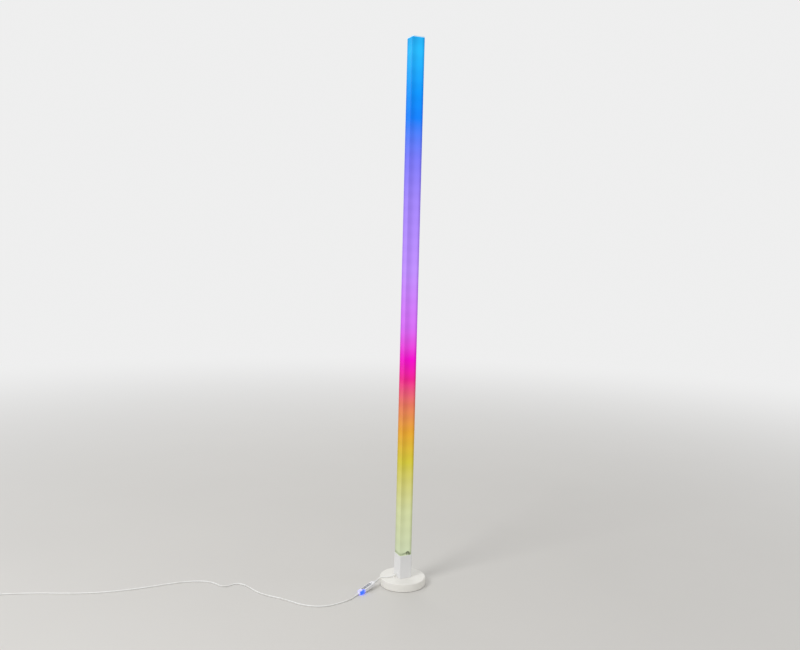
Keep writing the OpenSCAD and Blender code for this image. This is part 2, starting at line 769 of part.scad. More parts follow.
// A key: a cap with a softened top, a flange that stops under the case and a stem over its switch
module key(x) controller_frame() translate([x, 0, 0]) {
    flange_z = panel_roof - hole_fit - key_flange;
    stem_z = board_top + switch_h + plunger_h + key_travel + 2 * hole_fit;
    hull() {
        translate([0, 0, panel_roof - hole_fit])
            soft_block(key_l, key_w, ctl_h + key_rise - key_soft / 2 - panel_roof, key_corner, $fn = 32);
        translate([0, 0, panel_roof])
            soft_block(key_l - 2 * key_soft, key_w - 2 * key_soft, ctl_h + key_rise - panel_roof,
                key_corner - key_soft / 2, $fn = 32);
    }
    translate([0, 0, flange_z]) soft_block(key_l + 2 * key_rim, key_w + 2 * key_rim, key_flange, key_corner);
    translate([0, 0, stem_z]) cylinder(d = key_stem, h = flange_z + key_flange / 2 - stem_z, $fn = 32);
}

module mode_key() color("gainsboro") key(key_places[0]);
module power_key() color("gainsboro") key(key_places[1]);
module speed_key() color("gainsboro") key(key_places[2]);

module controller_board() color("seagreen") controller_frame() {
    translate([0, 0, board_z + hole_fit]) soft_block(board_l, board_w, board_t - hole_fit, 2);
}

// The processor and two small capacitors, on the top of the board
module board_parts() color("dimgray") controller_frame() {
    translate([key_pitch / 2, 0, board_top]) {
        translate([-chip.x / 2, -chip.y / 2, chip_leg.z / 2]) cube(chip);
        for (i = [-1.5:1:1.5], j = [-1, 1])
            translate([i * leg_pitch, j * (chip.y / 2 + chip_leg.y / 4), chip_leg.z / 2])
                cube(chip_leg, center = true);
    }
    for (j = [-1, 1])
        translate([-(key_pitch + small_part.y) / 2, j * 1.6 - small_part.y / 2, board_top]) cube(small_part);
}

module key_switches() color("lightgray") controller_frame() {
    for (x = key_places) translate([x, 0, board_top]) {
        translate([-switch_side / 2, -switch_side / 2, 0]) cube([switch_side, switch_side, switch_h]);
        cylinder(d = plunger_d, h = switch_h + plunger_h, $fn = 32);
    }
}

module ir_receiver() color("black") controller_frame() {
    translate([window_at - receiver.x / 2, -receiver.y / 2, board_top]) cube(receiver);
    translate([window_at, 0, board_top]) cylinder(d = receiver_dome, h = receiver.z + 0.4, $fn = 32);
}

// Plugs that close the two round openings in the case's top, with a flange below
module window(x) controller_frame() translate([x, 0, 0]) {
    translate([0, 0, roof - hole_fit - window_flange])
        cylinder(d = window_d + 2 * window_rim, h = window_flange, $fn = 32);
    translate([0, 0, roof - window_flange]) cylinder(d = window_d, h = ctl_wall + window_flange, $fn = 32);
}

module ir_window() color("maroon") window(window_at);
module status_lens() color("deepskyblue") window(lens_at);

module status_led() color("white") controller_frame() {
    translate([lens_at - status_chip.x / 2, -status_chip.y / 2, board_top]) cube(status_chip);
    translate([lens_at, 0, board_top]) cylinder(d = window_d / 2, h = status_chip.z + 0.5, $fn = 24);
}

// A strain relief: a flange inside the case's wall, a neck in it and a ringed, tapering boot
module relief(end) controller_frame() {
    translate([end * ctl_l / 2, 0, ctl_axis]) rotate([0, end * 90, 0]) difference() {
        rotate_extrude() difference() {
            polygon([
                [cord_r + hole_fit, -ctl_wall - flange_t],
                [flange_r, -ctl_wall - flange_t],
                [flange_r, -ctl_wall - flange_gap],
                [neck_r, -ctl_wall - flange_gap],
                [neck_r, 0],
                [boot_r, 0],
                [boot_r - 0.3, boot_l * boot_root],
                [boot_tip, boot_l],
                [cord_r + hole_fit, boot_l]
            ]);
            for (i = [1:4])
                translate([cord_r + ring_wall, boot_l * (0.2 + 0.17 * i) - ring_w / 2])
                    square([boot_r, ring_w]);
        }
    }
}

module relief_in() color("white") relief(1);
module relief_out() color("white") relief(-1);

// Cords

// The lead from the connector, through the grommet, over the base, to the controller
lead_path = smooth(concat(
    [[conn_mid - conn_l - hole_fit, 0, conn_z], [-socket_side / 2 - grommet_nose, 0, grommet_z],
        [-socket_side / 2 - grommet_nose - 2, 0, grommet_z]],
    lead_route,
    [on_controller([ctl_l / 2 + boot_l + 1.5, 0, ctl_axis]), on_controller([ctl_l / 2 + boot_l, 0, ctl_axis]),
        on_controller([ctl_l / 2 + boot_l - cord_grip, 0, ctl_axis])]
), lead_step);

function coil_point(a) =
    let (
        r = coil_in + coil_pitch * abs(a - coil_sweep / 2) / 360,
        c = min(1, max(0, (a - coil_sweep / 2) / 180 + 0.5))
    )
    [coil_at.x + r * cos(a + 90), coil_at.y + r * sin(a + 90), coil_z + coil_pitch * c * c * (3 - 2 * c)];

// The turns spiral in, climb to the second layer in the half turn where they reverse, and spiral out
coil_path = concat(
    [coil_point(0) + [cord_d, 0, 0]],
    [for (i = [0:coil_turns * coil_rings]) coil_point(i * 360 / coil_rings)],
    [coil_point(coil_sweep) + [0, -cord_d, 0]]
);
cord_path = smooth(concat(
    [on_controller([-ctl_l / 2 - boot_l + cord_grip, 0, ctl_axis]),
        on_controller([-ctl_l / 2 - boot_l, 0, ctl_axis])],
    cord_route,
    [coil_path[0] + [4 * cord_d, 0, 0], coil_path[0]]
), ring_step);
plug_path = smooth(concat(
    [coil_path[len(coil_path) - 1], coil_path[len(coil_path) - 1] + [0, -cord_d, 0]],
    plug_route,
    [on_plug([-plug_boot, 0, grip_h / 2]), on_plug([-plug_boot + cord_grip, 0, grip_h / 2])]
), lead_step);

module lamp_lead() color("white") tube(lead_path, cord_r, cord_sides);
module power_cord() color("white") tube(cord_path, cord_r, cord_sides);
module power_cord_coil() color("white") tube(coil_path, cord_r, coil_sides);
module plug_lead() color("white") tube(plug_path, cord_r, cord_sides);

// A strap once round the turns
module coil_tie() color("black") {
    x = coil_out - coil_in + cord_d + 2 * tie_corner;
    y = coil_pitch + cord_d + 2 * tie_slack;
    translate([coil_at.x, coil_at.y, 0]) rotate(tie_angle)
        translate([(coil_out + coil_in) / 2, tie_w / 2, rest_gap + tie_t + y / 2]) rotate([90, 0, 0])
            linear_extrude(tie_w) difference() {
                soft_rectangle(x + 2 * tie_t, y + 2 * tie_t, tie_corner + tie_t);
                soft_rectangle(x, y, tie_corner);
            }
}

// Plug

module plug_frame() {
    translate([plug_at.x, plug_at.y, rest_gap]) rotate([0, 0, plug_turn]) children();
}

module plug_grip() color("white") plug_frame() difference() {
    union() {
        hull() for (x = [grip_edge, grip_l - grip_edge], y = [-1, 1], z = [grip_edge, grip_h - grip_edge])
            translate([x, y * (grip_w / 2 - grip_edge), z]) sphere(grip_edge, $fn = 20);
        translate([-plug_boot, 0, grip_h / 2]) rotate([0, 90, 0]) rotate_extrude() difference() {
            polygon([[0, 0], [boot_tip, 0], [boot_r, plug_boot], [boot_r, plug_boot + 3], [0, plug_boot + 3]]);
            for (i = [1:4]) translate([cord_r + ring_wall, i * plug_boot / 5]) square([boot_r, ring_w]);
        }
    }
    translate([-plug_boot - bite, 0, grip_h / 2]) rotate([0, 90, 0])
        cylinder(r = cord_r + hole_fit, h = cord_grip + 2 * bite);
    translate([grip_l - usb_held, -usb_w / 2 - hole_fit, grip_h / 2 - usb_h / 2 - hole_fit])
        cube([usb_held + bite, usb_w + 2 * hole_fit, usb_h + 2 * hole_fit]);
    for (y = [-1, 1], i = [0:3]) // finger grooves
        translate([groove_from + groove_pitch * i, y * (grip_w / 2 + groove_w / 2 - groove_deep), grip_h / 2])
            cube([groove_w, groove_w, grip_h - 2 * grip_edge - 0.4], center = true);
}

module plug_shell() color("silver") plug_frame()
    translate([grip_l - usb_held + hole_fit, 0, grip_h / 2]) rotate([0, 90, 0]) difference() {
        linear_extrude(usb_held + usb_out) difference() {
            soft_rectangle(usb_h, usb_w, usb_corner);
            soft_rectangle(usb_h - 2 * usb_t, usb_w - 2 * usb_t, usb_corner - usb_t);
        }
        for (x = [-1, 1], y = [-1, 1]) // the four latch windows
            translate([x * usb_h / 2, y * usb_w / 4, usb_held + usb_out - latch_at])
                cube([4 * usb_t, latch, latch], center = true);
    }

module plug_tongue() color("black") plug_frame() {
    x = grip_l - usb_held + hole_fit;
    z = grip_h / 2 + usb_h / 2 - usb_t - hole_fit;
    y = usb_w - 2 * (usb_t + loose_fit);
    translate([x, -y / 2, z - tongue_t]) cube([usb_held + usb_out - tongue_back, y, tongue_t]);
}

module plug_contacts() color("gold") plug_frame() {
    z = grip_h / 2 + usb_h / 2 - usb_t - hole_fit - tongue_t;
    for (y = contact_y)
        translate([grip_l + contact_from, y - contact_w / 2, z - contact_t])
            cube([usb_out - contact_from - contact_back, contact_w, contact_t]);
}

// The coil's least gap to itself, between points at least half a turn apart along it
coil_least = min([for (i = [1:len(coil_path) - 2], j = [i + coil_rings / 2:1:len(coil_path) - 2])
    norm(coil_path[i] - coil_path[j])]) - cord_d;
echo(coil_least_gap = coil_least, coil_rings = len(coil_path), cord_rings = len(cord_path));
echo(lead = path_length(lead_path), cord = path_length(cord_path), coil = path_length(coil_path),
    plug = path_length(plug_path));

base_shell();
base_weight();
base_plate();
foot_pad();
plate_screws();
socket();
socket_screws();
cord_grommet();
connector_plug();
connector_socket();
diffuser();
top_cap();
cap_screw();
bottom_plug();
spine();
strip_front();
strip_side();
leds_front();
leds_side();
strip_leads();
strip_jumper();
case_bottom();
case_top();
key_panel();
mode_key();
power_key();
speed_key();
controller_board();
board_parts();
key_switches();
ir_receiver();
ir_window();
status_led();
status_lens();
relief_in();
relief_out();
lamp_lead();
power_cord();
power_cord_coil();
plug_lead();
coil_tie();
plug_grip();
plug_shell();
plug_tongue();
plug_contacts();
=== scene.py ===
import math
import bpy
import numpy as np
from mathutils import Matrix, Vector


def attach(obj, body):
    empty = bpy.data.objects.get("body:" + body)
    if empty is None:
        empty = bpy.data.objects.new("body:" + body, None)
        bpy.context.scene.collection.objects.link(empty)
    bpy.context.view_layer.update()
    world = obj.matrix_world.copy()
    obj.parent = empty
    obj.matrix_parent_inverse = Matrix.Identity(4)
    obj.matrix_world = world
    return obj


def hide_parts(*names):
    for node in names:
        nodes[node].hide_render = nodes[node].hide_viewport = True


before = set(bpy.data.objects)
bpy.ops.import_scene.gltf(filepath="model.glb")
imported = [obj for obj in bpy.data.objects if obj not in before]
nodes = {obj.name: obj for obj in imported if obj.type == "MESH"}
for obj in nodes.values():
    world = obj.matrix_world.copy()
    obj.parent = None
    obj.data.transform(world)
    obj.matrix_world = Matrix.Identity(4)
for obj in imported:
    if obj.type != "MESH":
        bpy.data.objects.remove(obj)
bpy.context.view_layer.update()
mm = 0.001
up = np.array([0.0, 0.0, 1.0])

# the photograph's view: the lamp is seen from its front corner, a little right of the middle
camera = {
    "place": (-0.8979, -1.8825, 0.8874),
    "forward": (0.41869, 0.90294, -0.09692),
    "up": (0.01868, 0.09813, 0.99500),
    "lens": 36.864,
}


def makeCamera():
    # the matrix's columns are the view's right, its top, backwards and the place
    forward = Vector(camera["forward"]).normalized()
    side = forward.cross(Vector(camera["up"])).normalized()
    top = side.cross(forward)
    eye = bpy.data.objects.new("camera", bpy.data.cameras.new("camera"))
    eye.data.sensor_width = 36
    eye.data.lens = camera["lens"]
    eye.data.clip_start = 0.01
    eye.matrix_world = Matrix(
        (
            (side.x, top.x, -forward.x, camera["place"][0]),
            (side.y, top.y, -forward.y, camera["place"][1]),
            (side.z, top.z, -forward.z, camera["place"][2]),
            (0, 0, 0, 1),
        )
    )
    bpy.context.collection.objects.link(eye)
    bpy.context.scene.camera = eye


makeCamera()
print("camera set")


# a surface is written as arithmetic: each operator on a node's output adds its Math node
class Signal:
    def __init__(self, finish, socket):
        self.finish = finish
        self.socket = socket

    def compute(self, operation, first, second):
        return self.finish.add("Math", {"operation": operation}, [first, second])

    def __add__(self, other):
        return self.compute("ADD", self, other)

    def __radd__(self, other):
        return self.compute("ADD", other, self)

    def __sub__(self, other):
        return self.compute("SUBTRACT", self, other)

    def __rsub__(self, other):
        return self.compute("SUBTRACT", other, self)

    def __mul__(self, other):
        return self.compute("MULTIPLY", self, other)

    def __rmul__(self, other):
        return self.compute("MULTIPLY", other, self)

    def __truediv__(self, other):
        return self.compute("DIVIDE", self, other)

    def __mod__(self, other):
        return self.compute("FLOORED_MODULO", self, other)

    def __abs__(self):
        return self.compute("ABSOLUTE", self, 0)

    def root(self):
        return self.compute("SQRT", self, 0)

    def orMore(self, other):
        return self.compute("MAXIMUM", self, other)


def tone(red, green, blue):
    # a display colour from 0 to 255 as the linear one that shaders take
    c = np.array([red, green, blue]) / 255
    c = np.where(c <= 0.04045, c / 12.92, ((c + 0.055) / 1.055) ** 2.4)
    return (float(c[0]), float(c[1]), float(c[2]), 1.0)


socketNames = {
    "colour": "Base Color",
    "glow": "Emission Color",
    "glowStrength": "Emission Strength",
    "coat": "Coat Weight",
    "coatRoughness": "Coat Roughness",
    "specular": "Specular IOR Level",
    "ior": "IOR",
}


# one material: its nodes are added through it, and its point is in Object coordinates
class Finish:
    def __init__(self, name):
        self.material = bpy.data.materials.new(name)
        self.material.use_nodes = True
        self.tree = self.material.node_tree
        self.shader = self.tree.nodes["Principled BSDF"]
        self.point = self.add("TexCoord", {}, {}, 3)
        split = self.add("SeparateXYZ", {}, [self.point])
        self.x, self.y, self.z = (Signal(self, socket) for socket in split.socket.node.outputs)

    # adds any node: its settings first, then the values or links of its sockets
    def add(self, kind, settings, values, output=0):
        node = self.tree.nodes.new("ShaderNode" + kind)
        for key, value in settings.items():
            if key == "stops":
                ramp = node.color_ramp
                while len(ramp.elements) < len(value):
                    ramp.elements.new(0.5)
                for element, (place, colour) in zip(ramp.elements, value):
                    element.position = place
                    element.color = colour
            else:
                setattr(node, key, value)
        for key, value in enumerate(values) if isinstance(values, list) else values.items():
            if isinstance(value, Signal):
                self.tree.links.new(value.socket, node.inputs[key])
            else:
                node.inputs[key].default_value = value
        return Signal(self, node.outputs[output])

    def noise(self, size, detail=2.0, rough=0.5, point=None):
        values = {"Vector": point or self.point, "Scale": 1 / size, "Detail": detail, "Roughness": rough}
        return self.add("TexNoise", {}, values)

    # noise drawn out into lines, by a number of repeats per metre along each axis
    def streaks(self, repeats, detail=3.0, rough=0.6, point=None):
        drawn = self.add("Mapping", {}, {"Vector": point or self.point, "Scale": repeats})
        return self.noise(1.0, detail, rough, drawn)

    # 0 below low, 1 above high, and smooth between; low may be the larger
    def step(self, value, low, high):
        return self.add("MapRange", {"interpolation_type": "SMOOTHSTEP"}, [value, low, high, 0.0, 1.0])

    # 1 where a value is within reach of 0, with a soft edge half outside and half inside
    def band(self, value, reach, edge):
        return self.step(abs(value), reach + edge / 2, reach - edge / 2)

    def mix(self, share, first, second, way="MIX"):
        return self.add("Mix", {"data_type": "RGBA", "blend_type": way}, {0: share, 6: first, 7: second}, 2)

    # a colour times a number
    def dimmed(self, colour, level):
        return self.mix(1.0, colour, self.add("CombineColor", {}, [level] * 3), "MULTIPLY")

    # distance along a fixed direction from a fixed point
    def along(self, direction, origin=(0, 0, 0)):
        reach = self.add("VectorMath", {"operation": "DOT_PRODUCT"}, [self.point, tuple(direction)], 1)
        return reach - float(np.dot(direction, origin))

    def bump(self, height, depth, strength, normal=None):
        values = {"Height": height, "Distance": depth, "Strength": strength}
        if normal:
            values["Normal"] = normal
        return self.add("Bump", {}, values)

    # numbers and colours go on the shader's own sockets, and signals are linked to them
    def shade(self, **sockets):
        for key, value in sockets.items():
            socket = self.shader.inputs[socketNames.get(key, key.capitalize())]
            if isinstance(value, Signal):
                self.tree.links.new(value.socket, socket)
            else:
                socket.default_value = value
        return self.material


def dress(names, material):
    for name in names.split():
        mesh = nodes[name].data
        mesh.materials.clear()
        mesh.materials.append(material)


def gridMesh(name, grid, material, body):
    # closes each ring on itself and each end with one face;
    # the map's first axis runs once round, and its second along the middle in metres
    rings, sides = grid.shape[:2]
    index = np.arange(rings * sides).reshape(rings, sides)
    right = np.roll(index, -1, axis=1)
    quads = np.stack([index[:-1], right[:-1], right[1:], index[1:]], axis=-1).reshape(-1, 4)
    faces = quads.tolist() + [index[0, ::-1].tolist(), index[-1].tolist()]
    mesh = bpy.data.meshes.new(name)
    mesh.from_pydata(grid.reshape(-1, 3).tolist(), [], faces)
    middle = grid.mean(axis=1)
    run = np.concatenate([[0], np.cumsum(np.linalg.norm(np.diff(middle, axis=0), axis=1))])
    ring, side = np.divmod(np.arange(len(quads)), sides)
    around = (side[:, None] + [0, 1, 1, 0]) / sides
    along = run[ring[:, None] + [0, 0, 1, 1]]
    ends = np.zeros((2 * sides, 2))
    ends[sides:, 1] = run[-1]
    pairs = np.concatenate([np.stack([around, along], axis=-1).reshape(-1, 2), ends])
    layer = mesh.uv_layers.new(name="run")
    layer.data.foreach_set("uv", pairs.astype(np.float32).ravel())
    mesh.polygons.foreach_set("use_smooth", [True] * len(quads) + [False, False])
    mesh.update()
    mesh.materials.append(material)
    piece = bpy.data.objects.new(name, mesh)
    bpy.context.collection.objects.link(piece)
    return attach(piece, body)


def sweep(name, path, radius, sides, material, body):
    # each ring is a circle square to the path:
    # the path's point, plus the radius times cosine across and sine upwards of the turn
    tangent = np.gradient(path, axis=0)
    tangent /= np.linalg.norm(tangent, axis=1, keepdims=True)
    across = np.cross(up, tangent)
    across /= np.linalg.norm(across, axis=1, keepdims=True)
    rise = np.cross(tangent, across)
    turn = np.arange(sides) * 2 * math.pi / sides
    ring = np.cos(turn)[None, :, None] * across[:, None] + np.sin(turn)[None, :, None] * rise[:, None]
    return gridMesh(name, path[:, None] + radius * ring, material, body)


def smoothRoute(points, spacing):
    # a cubic along each span, between directions that weigh the neighbouring spans by their lengths
    p = np.asarray(points, float)
    run = np.diff(p, axis=0)
    span = np.linalg.norm(run, axis=1)
    a, b = span[:-1, None], span[1:, None]
    inner = (run[:-1] * b / a + run[1:] * a / b) / (a + b)
    heading = np.vstack([run[:1] / span[0], inner, run[-1:] / span[-1]])
    pieces = []
    for i, length in enumerate(span):
        count = max(1, round(length / spacing))
        t = np.arange(count)[:, None] / count
        s = 1 - t
        between = p[i] * s * s * (1 + 2 * t) + p[i + 1] * t * t * (3 - 2 * t)
        pieces.append(between + length * t * s * (heading[i] * s - heading[i + 1] * t))
    return np.vstack(pieces + [p[-1:]])


# the cords follow the same routes as the solids that they replace
cordSize = {"diameter": 3.2 * mm, "sides": 20, "spacing": 2.5 * mm, "hole": 27.3 * mm}

# where the lead starts on the connector, leaves the grommet and turns down,
# all along X and at the hole's height
leadStart = {"connector": -7.05 * mm, "grommet": -22 * mm, "turn": -24 * mm}

controller = {
    "at": np.array([-106.5, -11.0, 0.0]) * mm,
    "turn": math.radians(27),
    "lean": math.radians(9),
    "length": 58 * mm,
    "height": 8.6 * mm,
    "seam": 0.21 * mm,
    "relief": 12 * mm,
    "gap": 0.05 * mm,  # between its lowest edge and the floor
    "held": 4 * mm,  # of cord inside each relief
    "straight": 1.5 * mm,  # of lead before the relief
}

plug = {
    "at": np.array([-1044.0, 236.0, 0.05]) * mm,
    "height": 8 * mm,
    "boot": 9 * mm,
    "held": 4 * mm,
}

coil = {
    "at": np.array([-1012.0, 276.0]) * mm,
    "turns": 6.25,
    "middle": 18.5 * mm,
    "pitch": 3.8 * mm,
    "low": 2.4 * mm,
    "points": 420,
}


def controllerAxes():
    # along the case, turned about Z and then leant up; across it and level; and square to both
    cosT, sinT = math.cos(controller["turn"]), math.sin(controller["turn"])
    cosL, sinL = math.cos(controller["lean"]), math.sin(controller["lean"])
    along = np.array([cosL * cosT, cosL * sinT, sinL])
    across = np.array([-sinT, cosT, 0.0])
    return along, across, np.cross(along, across)


caseAlong, caseAcross, caseUp = controllerAxes()
caseRise = controller["gap"] + controller["length"] / 2 * math.sin(controller["lean"])
caseOrigin = controller["at"] + up * caseRise


def onController(x):
    # a point on the case's middle line, halfway up
    return caseOrigin + x * caseAlong + controller["height"] / 2 * caseUp


def onPlug(x):
    # a point on the grip's middle line, which runs against Y
    return plug["at"] + np.array([0.0, -x, plug["height"] / 2])


def coilPoint(turned):
    # two flat spirals: the radius shrinks by the pitch each turn to halfway and then grows again,
    # and the height climbs one pitch, smoothly, in the half turn between them
    sweepAngle = 2 * math.pi * coil["turns"]
    inner = coil["middle"] - coil["pitch"] * coil["turns"] / 4
    radius = inner + coil["pitch"] * np.abs(turned - sweepAngle / 2) / (2 * math.pi)
    climb = np.clip((turned - sweepAngle / 2) / math.pi + 0.5, 0, 1)
    angle = turned + math.pi / 2
    return np.stack(
        [
            coil["at"][0] + radius * np.cos(angle),
            coil["at"][1] + radius * np.sin(angle),
            coil["low"] + coil["pitch"] * climb**2 * (3 - 2 * climb),
        ],
        axis=-1,
    )


leadRoute = [
    [-32, 1, 24.05], [-41, 3, 22.75], [-51, 5.8, 22.65], [-58.5, 7.9, 22.35],
    [-64.3, 8.9, 20.2],
]
leadRoute = np.array(leadRoute) * mm  # across the base's top and over its edge
cordRoute = [
    [-160, -42, 0.2], [-178, -49, 0], [-202, -55, 0], [-226, -58, 0], [-249, -54, 0], [-272, -41, 0],
    [-290, -24, 0], [-308, 2, 0], [-326, 27, 0], [-344, 47, 0], [-360, 68, 0], [-371, 91, 0],
    [-379, 115, 0], [-388, 137, 0], [-401, 151, 0], [-417, 151, 0], [-432, 147, 0], [-445, 154, 0],
    [-454, 171, 0], [-469, 190, 0], [-494, 204, 0], [-530, 213, 0], [-575, 215, 0], [-625, 214, 0],
    [-675, 216, 0], [-725, 223, 0], [-775, 236, 0], [-825, 255, 0], [-875, 276, 0], [-920, 291, 0],
    [-955, 300.4375, 0.2],
]
cordRoute = (np.array(cordRoute) + [0, 0, 1.65]) * mm  # its axis lies this far above the floor
plugRoute = np.array([[-1038, 262, 5.2], [-1041, 252, 4.6]]) * mm


def cordPaths():
    # the lead, then the power cord as one: its free run, the coil's turns and the tail to the plug
    mouth = controller["length"] / 2 + controller["relief"]
    inside = mouth - controller["held"]
    diameter = cordSize["diameter"]
    lead = [[x, 0, cordSize["hole"]] for x in leadStart.values()]
    lead += [*leadRoute, onController(mouth + controller["straight"])]
    lead += [onController(mouth), onController(inside)]
    turns = coilPoint(np.linspace(0, 2 * math.pi * coil["turns"], coil["points"]))
    turns = np.vstack([turns[:1] + [diameter, 0, 0], turns, turns[-1:] + [0, -diameter, 0]])
    free = [onController(-inside), onController(-mouth), *cordRoute]
    free += [turns[0] + [4 * diameter, 0, 0], turns[0]]
    tail = [turns[-1], turns[-1] + [0, -diameter, 0], *plugRoute]
    tail += [onPlug(-plug["boot"]), onPlug(plug["held"] - plug["boot"])]
    spacing = cordSize["spacing"]
    whole = np.vstack([smoothRoute(free, spacing)[:-1], turns, smoothRoute(tail, spacing)[1:]])
    return smoothRoute(lead, spacing / 2), whole


def cordSheath(name):
    # drawn white sheath: faint lines along it, soft waves in its gloss and a little handling grey
    sheath = Finish(name)
    lines = sheath.streaks((40.0, 30.0, 1.0), point=sheath.add("UVMap", {"uv_map": "run"}, {}))
    grain = sheath.noise(0.25 * mm)
    handled = sheath.noise(35 * mm, 3.0, 0.55)
    colour = sheath.mix(sheath.step(handled, 0.45, 0.8), tone(240, 240, 238), tone(222, 221, 217))
    colour = sheath.mix(sheath.step(lines, 0.55, 0.8) * 0.35, colour, tone(228, 228, 228))
    return sheath.shade(
        colour=colour,
        roughness=0.34 + 0.16 * handled + 0.06 * lines,
        normal=sheath.bump(lines * 0.7 + grain * 0.3, 0.05 * mm, 0.5),
        specular=0.45,
        coat=0.06,
        coatRoughness=0.3,
    )


leadPath, cordPath = cordPaths()
sheath = cordSheath("cord sheath")
lampLead = sweep("lampLeadCord", leadPath, cordSize["diameter"] / 2, cordSize["sides"], sheath, "lamp")
powerCord = sweep("powerCord", cordPath, cordSize["diameter"] / 2, cordSize["sides"], sheath, "lamp")
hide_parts("lamp_lead")
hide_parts("power_cord", "power_cord_coil", "plug_lead")
print("cords laid")


# the lit tube: its colour climbs from ivory at the foot to aqua at the cap
tube = {
    "half": 16.5 * mm,
    "top": 1397.6 * mm,
    "socketTop": 82 * mm,
    "corner": (2.2 * mm, 0.3 * mm),  # behind a face: where its shading ends, and where it is full
    "diodePitch": 33.3 * mm,
    "firstDiode": 98 * mm,
    "beat": 0.015,  # how much the light rises by a diode and falls between two
    "creep": 4.5 * mm,  # how far the front corner's shade comes round onto the left face
    "glow": 0.82,
    "paintedLightShare": 0.28,  # how much of its light's colour and shading is painted into the wall's own colour
    "milk": 0.01,  # how much white is mixed into the light's colour that is painted as its own
    "purer": 0.3,  # how much purer its glow is where it is shaded
}

# the shares of its light that the wall loses
tubeShade = {
    "frontCorner": (0.08, 0.16),  # at the foot and higher up
    "rightEdge": 0.3,
    "left": (0.05, 0.19),  # by the front corner and by the back one
    "creep": 0.14,
    "back": (0.14, 0.54),  # outside the spine and behind it
    "cap": 0.1,
    "foot": 0.22,
}

# where the wires' shade falls on the front face, and the light lost to each part of it
wireShade = {
    "loopX": 5.2 * mm,
    "loopZ": 85.2 * mm,
    "wide": 5.0 * mm,  # either side of the loop's middle
    "high": 6.2 * mm,  # above and below it
    "line": 0.95,  # how far out the loop is darkest, as a share of those two
    "strandX": -6 * mm,
    "strandZ": 86.8 * mm,
    "slope": 0.3,
    "loop": 0.66,
    "within": 0.4,
    "strand": 0.32,
}

# where each of these begins, and where it is full
shadeReach = {
    # along X on the front face
    "frontCorner": (3 * mm, -13.5 * mm),
    "rightEdge": (7 * mm, 16.5 * mm),
    "strandLeft": (-13 * mm, -6 * mm),
    "strandRight": (4 * mm, 0.0),
    # along Y on the left face; the creep is measured from the line that it has reached
    "left": (0.0, 16.5 * mm),
    "leftCorner": (-16.5 * mm, -14.9 * mm),
    "creep": (3.6 * mm, -1.2 * mm),
    # along either, on the two back faces
    "spine": (-14 * mm, -1 * mm),
    # in height
    "frontClimb": (100 * mm, 250 * mm),
    "creepClimb": (100 * mm, 600 * mm),
    "cap": (25.6 * mm, 3.6 * mm),  # below the tube's top
    "foot": (10 * mm, 3.2 * mm),  # above the socket, as the next two are
    "lip": (3.2 * mm, 0.6 * mm),
    "withinFoot": (-1 * mm, 4 * mm),
    # off the strand's line; and out from the loop's middle or its line, as a share of wide and high
    "strand": (2.6 * mm, 0.4 * mm),
    "loop": (0.5, 0.1),
    "loopGap": (-0.2, -1.1),
    "within": (1.1, 0.7),
    # in shares of the full light
    "purer": (1.0, 0.6),
}

# the colours that the diodes are set to, each at a height in metres
tubeColours = {
    "ivory": (0.05, (198, 210, 180)),
    "straw": (0.20, (208, 214, 162)),
    "lemon": (0.33, (210, 198, 62)),
    "amber": (0.41, (230, 165, 50)),
    "coral": (0.48, (230, 120, 95)),
    "rose": (0.545, (240, 34, 145)),
    "magenta": (0.60, (242, 0, 206)),
    "orchid": (0.68, (215, 110, 245)),
    "lavender": (0.82, (192, 143, 254)),
    "lilac": (1.00, (163, 135, 250)),
    "iris": (1.10, (125, 124, 250)),
    "azure": (1.20, (12, 130, 254)),
    "sky": (1.26, (0, 148, 252)),
    "aqua": (1.36, (35, 186, 254)),
}


def litColour(finish):
    # the colour at a point's height, blended between the set ones
    low, high = tubeColours["ivory"][0], tubeColours["aqua"][0]
    stops = [((height - low) / (high - low), tone(*colour)) for height, colour in tubeColours.values()]
    return finish.add("ValToRGB", {"stops": stops}, [(finish.z - low) / (high - low)])


